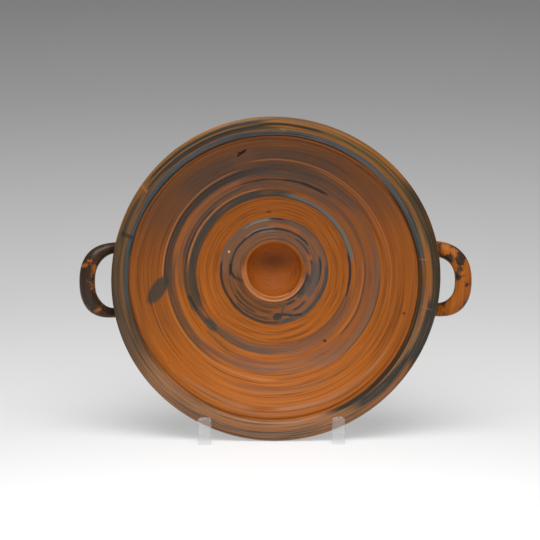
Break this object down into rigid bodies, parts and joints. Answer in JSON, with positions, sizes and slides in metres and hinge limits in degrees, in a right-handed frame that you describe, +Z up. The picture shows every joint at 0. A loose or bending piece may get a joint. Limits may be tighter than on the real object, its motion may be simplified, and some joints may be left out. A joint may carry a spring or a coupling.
{
  "type": "kylix cup on display feet",
  "caption": "Shallow two-handled clay cup with a broad rim, a central well and a low foot, standing on its edge in clear display feet.",
  "frame": {"origin": "on the floor under the middle of the whole object's box", "axes": "+Z up, mouth of the cup facing -Y and leaning back 4 degrees, +X to the right of someone facing the mouth, through both handles"},
  "size_m": [0.27, 0.089, 0.2257],
  "materials": {
    "clay": "orange-brown clay with streaky dark slip, satin",
    "acrylic": "clear, polished"
  },
  "bodies": {
    "root": {"kylix": "clay", "display_foot_left": "acrylic", "display_foot_right": "acrylic"}
  },
  "joints": []
}
